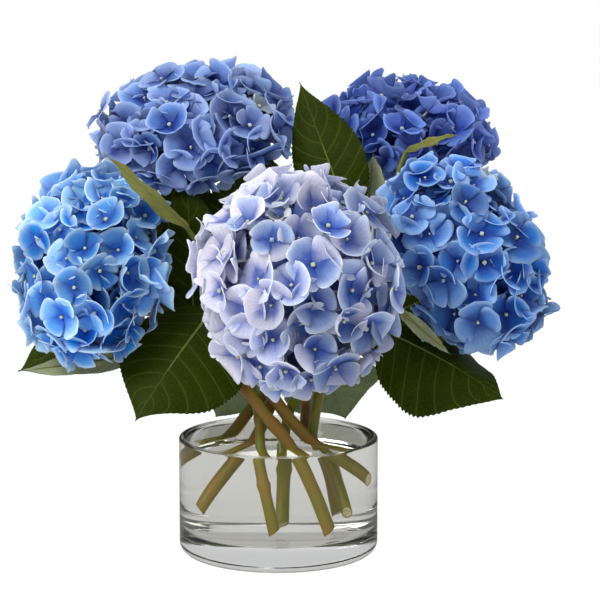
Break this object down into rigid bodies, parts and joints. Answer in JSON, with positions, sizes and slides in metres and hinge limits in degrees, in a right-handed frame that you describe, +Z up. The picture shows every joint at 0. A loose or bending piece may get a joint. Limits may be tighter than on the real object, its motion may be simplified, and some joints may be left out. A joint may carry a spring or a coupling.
{
  "type": "hydrangeas in a vase",
  "caption": "Bunch of blue mophead hydrangeas with toothed leaves, standing in water in a low clear glass cylinder vase.",
  "frame": {"origin": "centre of the vase's base, on the surface it stands on", "axes": "+Z up, +X to the right and -Y towards the viewer of the side with the pale middle bloom"},
  "size_m": [0.4064, 0.3481, 0.3663],
  "materials": {
    "clear_glass": "polished, clear",
    "water": "clear water",
    "petals_lavender": "soft matt petals, pale lavender-blue",
    "petals_sky": "soft matt petals, sky blue",
    "petals_blue": "soft matt petals, mid blue",
    "petals_periwinkle": "soft matt petals, periwinkle",
    "petals_violet": "soft matt petals, violet-blue",
    "stem_green": "smooth green stalk with brown streaks",
    "shoot_green": "smooth young green shoot",
    "leaf_green": "satin leaf, paler below"
  },
  "bodies": {
    "root": {"vase": "clear_glass", "water": "water", "bloom_front": "petals_lavender", "bloom_left": "petals_sky", "bloom_right": "petals_blue", "bloom_back_left": "petals_periwinkle", "bloom_back_right": "petals_violet", "stem_front": "stem_green", "stem_left": "stem_green", "stem_right": "stem_green", "stem_back_left": "stem_green", "stem_back_right": "stem_green", "shoot_left": "shoot_green", "shoot_right": "shoot_green", "shoot_back": "shoot_green", "leaf_back": "leaf_green", "leaf_back_pale": "leaf_green", "leaf_far_left": "leaf_green", "leaf_far_left_low": "leaf_green", "leaf_front_left": "leaf_green", "leaf_front_right": "leaf_green", "leaf_inner_left": "leaf_green", "leaf_left_edge": "leaf_green", "leaf_low_left": "leaf_green", "leaf_low_right": "leaf_green", "leaf_rear_centre": "leaf_green", "leaf_rear_left": "leaf_green", "leaf_rear_right": "leaf_green", "leaf_right_fold": "leaf_green", "leaf_top_right": "leaf_green"}
  },
  "joints": []
}
